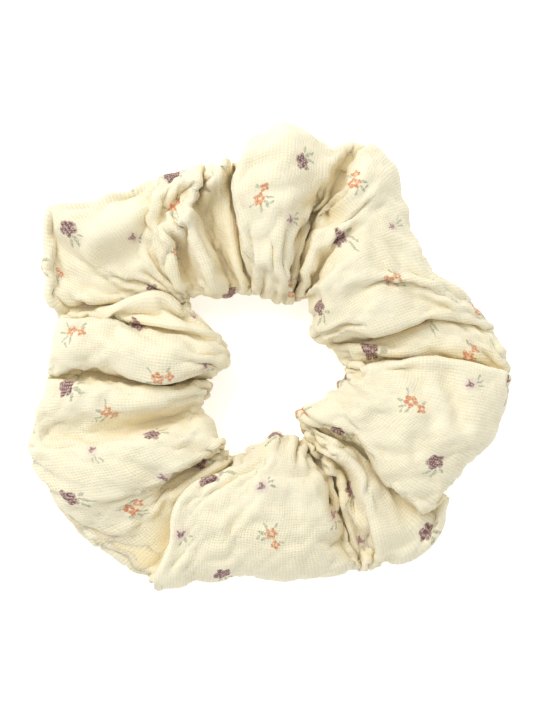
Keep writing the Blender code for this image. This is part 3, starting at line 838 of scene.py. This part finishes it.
band_away = evened_round(np.array([roomiest(step) for step in range(ELASTIC_STEPS)]), 4)
rooms = np.array([room_at(step, band_away[step]) for step in range(ELASTIC_STEPS)])
tightest = range(-2, 3)
band_floor = evened_round(np.max([np.roll(rooms[:, 0], k) for k in tightest], 0), 2) + ELASTIC_FREE
band_ceiling = evened_round(np.min([np.roll(rooms[:, 1], k) for k in tightest], 0), 2) - ELASTIC_FREE
band_height = band_floor + np.clip(band_ceiling - band_floor, 0, ELASTIC_WIDTH) / 2
# where the tube is low, the band leans over towards flat
band_lean = np.arccos(np.clip((band_ceiling - band_floor) / ELASTIC_WIDTH, 0.15, 1.0))
band_lean = evened_round(band_lean, 3)


def band_point(step, across, out):
    """A place in the band: across its width from -0.5 to 0.5, and out from its middle surface."""
    k = int(step) % ELASTIC_STEPS
    way = way_out(step)
    lean = band_lean[k]
    side = way * math.sin(lean) + Vector((0, 0, math.cos(lean)))
    face = way * math.cos(lean) - Vector((0, 0, math.sin(lean)))
    start = band_middle + way * band_away[k] + Vector((0, 0, band_height[k]))
    return start + side * across * ELASTIC_WIDTH + face * out


band = bmesh.new()
band_steps = ELASTIC_STEPS + LAP_STEPS
CLIMB_STEPS = 8  # in which the upper end rises over the lower one
bmesh.ops.create_grid(band, x_segments=band_steps, y_segments=6, size=0.5)
braid_map = band.loops.layers.uv.new("braid")
for face in band.faces:
    for corner in face.loops:
        place = corner.vert.co
        corner[braid_map].uv = ((place.x + 0.5) * band_steps, place.y)
for vertex in band.verts:
    run = (vertex.co.x + 0.5) * band_steps
    step = LAP_START + run
    climb = min(max(run / CLIMB_STEPS - (ELASTIC_STEPS - CLIMB_STEPS) / CLIMB_STEPS, 0.0), 1.0)
    climb = climb * climb * (3 - 2 * climb)
    vertex.co = band_point(step, vertex.co.y, climb * (ELASTIC_THICKNESS + 0.3 * MM))
band_mesh = mesh_from("braided_elastic", band)
band_mesh.shade_smooth()
elastic = linked("elastic", band_mesh)
thick = elastic.modifiers.new("Solidify", "SOLIDIFY")
thick.thickness = ELASTIC_THICKNESS
thick.offset = 0

CORDS = 9  # across the band
# the elastic's own white, and a darker white painted as shade in the grooves between its cords
PAINTED_GROOVE_SHADE_WHITE, CORD_TOP_WHITE = (0.62, 0.60, 0.56, 1), (0.9, 0.89, 0.86, 1)
braided, n, shader = new_material("braided_elastic")
braid = n.add("UVMap", uv_map="braid").outputs[0]
along_band, over_band = n.add("SeparateXYZ", (braid,)).outputs[:2]
cord = n.maths("SINE", n.maths("MULTIPLY", over_band, 2 * math.pi * CORDS))
twist = n.maths("MULTIPLY_ADD", over_band, 12.0, n.maths("MULTIPLY", along_band, 3.2))
strands = n.maths("SINE", n.maths("MULTIPLY", twist, 2 * math.pi))
bumps = n.maths("MULTIPLY_ADD", strands, 0.5, n.maths("ABSOLUTE", cord))
# painted shade: the lower the braid's surface, the darker the white, so the grooves between the cords look
# shaded
cord_top_share = n.maths("MULTIPLY_ADD", bumps, 0.3, 0.4)
n.put(shader.inputs["Base Color"], n.mixed(cord_top_share, PAINTED_GROOVE_SHADE_WHITE, CORD_TOP_WHITE))
shader.inputs["Roughness"].default_value = 0.75
ridges = n.add("Bump")
ridges.inputs["Strength"].default_value = 0.8
ridges.inputs["Distance"].default_value = 0.2 * MM
n.put(ridges.inputs["Height"], bumps)
n.put(shader.inputs["Normal"], ridges.outputs[0])
band_mesh.materials.append(braided)
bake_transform(elastic)
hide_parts("elastic_band")

# ---- The thread ----------------------------------------------------------------------------------
# Cream spun polyester sewing thread: running stitches along the two lips inside the tube, a row round the
# closing seam on the left, and the zigzag in the elastic.

THREAD = 0.4 * MM
spun, n, shader = new_material("sewing_thread")
where = n.add("TexCoord").outputs["Object"]
# painted shade: darker diagonal bands stand for the grooves of the twist, lighter ones for the ply tops
plies = n.add("TexWave", (where, 900.0, 4.0, 2.0), wave_type="BANDS", bands_direction="DIAGONAL")
n.put(shader.inputs["Base Color"], n.mixed(plies.outputs[1], (0.72, 0.66, 0.52, 1), (0.9, 0.86, 0.74, 1)))
shader.inputs["Roughness"].default_value = 0.6
shader.inputs["Sheen Weight"].default_value = 0.2


def sew(name, points, *replaced):
    """A thread through these points, as a mesh tube."""
    curve = bpy.data.curves.new(name, "CURVE")
    curve.dimensions = "3D"
    curve.bevel_depth = THREAD / 2
    curve.bevel_resolution = 2
    curve.use_fill_caps = True
    line = curve.splines.new("POLY")
    line.points.add(len(points) - 1)
    for point, place in zip(line.points, points):
        point.co = (*place, 1.0)
    drawn = linked(name + "_path", curve)
    mesh = bpy.data.meshes.new_from_object(drawn.evaluated_get(bpy.context.evaluated_depsgraph_get()))
    bpy.data.objects.remove(drawn)
    bpy.data.curves.remove(curve)
    mesh.shade_smooth()
    mesh.materials.clear()
    mesh.materials.append(spun)
    thread = linked(name, mesh)
    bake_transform(thread)
    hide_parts(*replaced)


def over_and_under(at):
    """1 over the work and -1 under it, by turns, as the stitches are counted along."""
    return math.tanh(2.5 * math.cos(math.pi * at))


POINTS_PER_STITCH = 6
STITCH_COLUMNS = 4
over_cloth = LIP_GAP + CLOTH_THICKNESS / 2 + THREAD / 2 + 0.1 * MM
line_in = SEAM_SINK + 1.6 * MM
long_seam = []
for k in range(COLUMNS // STITCH_COLUMNS * POINTS_PER_STITCH):
    column = k * STITCH_COLUMNS / POINTS_PER_STITCH
    c, share = int(column), column - int(column)
    here, there = ((seam[i] + lip_way[i] * line_in, to_top[i]) for i in (c, (c + 1) % COLUMNS))
    rise = over_and_under(column / STITCH_COLUMNS) * over_cloth
    long_seam.append(
        Vector(here[0] * (1 - share) + there[0] * share + (here[1] * (1 - share) + there[1] * share) * rise)
    )
sew(
    "long_seam_thread", long_seam,
    "long_seam_thread_right", "long_seam_thread_left_upper", "long_seam_thread_left_lower",
)

CLOSING_AT = COLUMNS - 4
ROWS_PER_STITCH = 4
UNSEWN_ROWS = 4  # at each end, beside the long seam
CLOSING_SWING, CLOSING_SINK = 0.9, 0.7  # mm over and under its middle, which is this far in
closing = []
for k in range(POINTS_PER_STITCH * (ROWS - 2 * UNSEWN_ROWS) // ROWS_PER_STITCH):
    row = UNSEWN_ROWS + k * ROWS_PER_STITCH / POINTS_PER_STITCH
    r, share = int(row), row - int(row)
    place = loose[CLOSING_AT, r] * (1 - share) + loose[CLOSING_AT, r + 1] * share
    depth = over_and_under(row / ROWS_PER_STITCH) * CLOSING_SWING * MM - CLOSING_SINK * MM
    closing.append(Vector(place + outward[CLOSING_AT, r] * depth))
sew("closing_seam_thread_sewn", closing, "closing_seam_thread")

zigzag = []
for k in range(LAP_STEPS * POINTS_PER_STITCH):
    step = k / POINTS_PER_STITCH
    through = over_and_under(step) * 1.4 * MM + 0.65 * MM
    zigzag.append(band_point(LAP_START + step, 0.28 * math.sin(math.pi * step), through))
sew("elastic_join_thread_sewn", zigzag, "elastic_join_thread")

# ---- The table, the light and the camera ----------------------------------------------------------
# A white table that gives off some light of its own, and a large soft light from the upper left.

table_top = bmesh.new()
bmesh.ops.create_grid(table_top, x_segments=1, y_segments=1, size=1.5)
table_mesh = mesh_from("table", table_top)
table = linked("table", table_mesh)
white, n, paper = new_material("white_table")
paper.inputs["Base Color"].default_value = (0.95, 0.95, 0.95, 1)
paper.inputs["Roughness"].default_value = 0.9
paper.inputs["Emission Color"].default_value = (1, 1, 1, 1)
paper.inputs["Emission Strength"].default_value = 0.4
table_mesh.materials.append(white)

world = bpy.data.worlds.new("studio")
world.use_nodes = True
world.node_tree.nodes["Background"].inputs["Color"].default_value = (1, 1, 1, 1)
world.node_tree.nodes["Background"].inputs["Strength"].default_value = 0.72
scene.world = world
scene.view_settings.view_transform = "Standard"
key = bpy.data.lights.new("key", "AREA")
key.energy = 5
key.shape = "DISK"
key.size = 0.7
key_obj = linked("key", key)
key_obj.location = (-0.35, 0.5, 0.7)
key_obj.rotation_euler = (Vector((0, 0, 0)) - key_obj.location).to_track_quat("-Z", "Y").to_euler()

lens = bpy.data.cameras.new("camera")
lens.lens = 85
camera = linked("camera", lens)
camera.location = (0, 0, 0.416)
scene.camera = camera
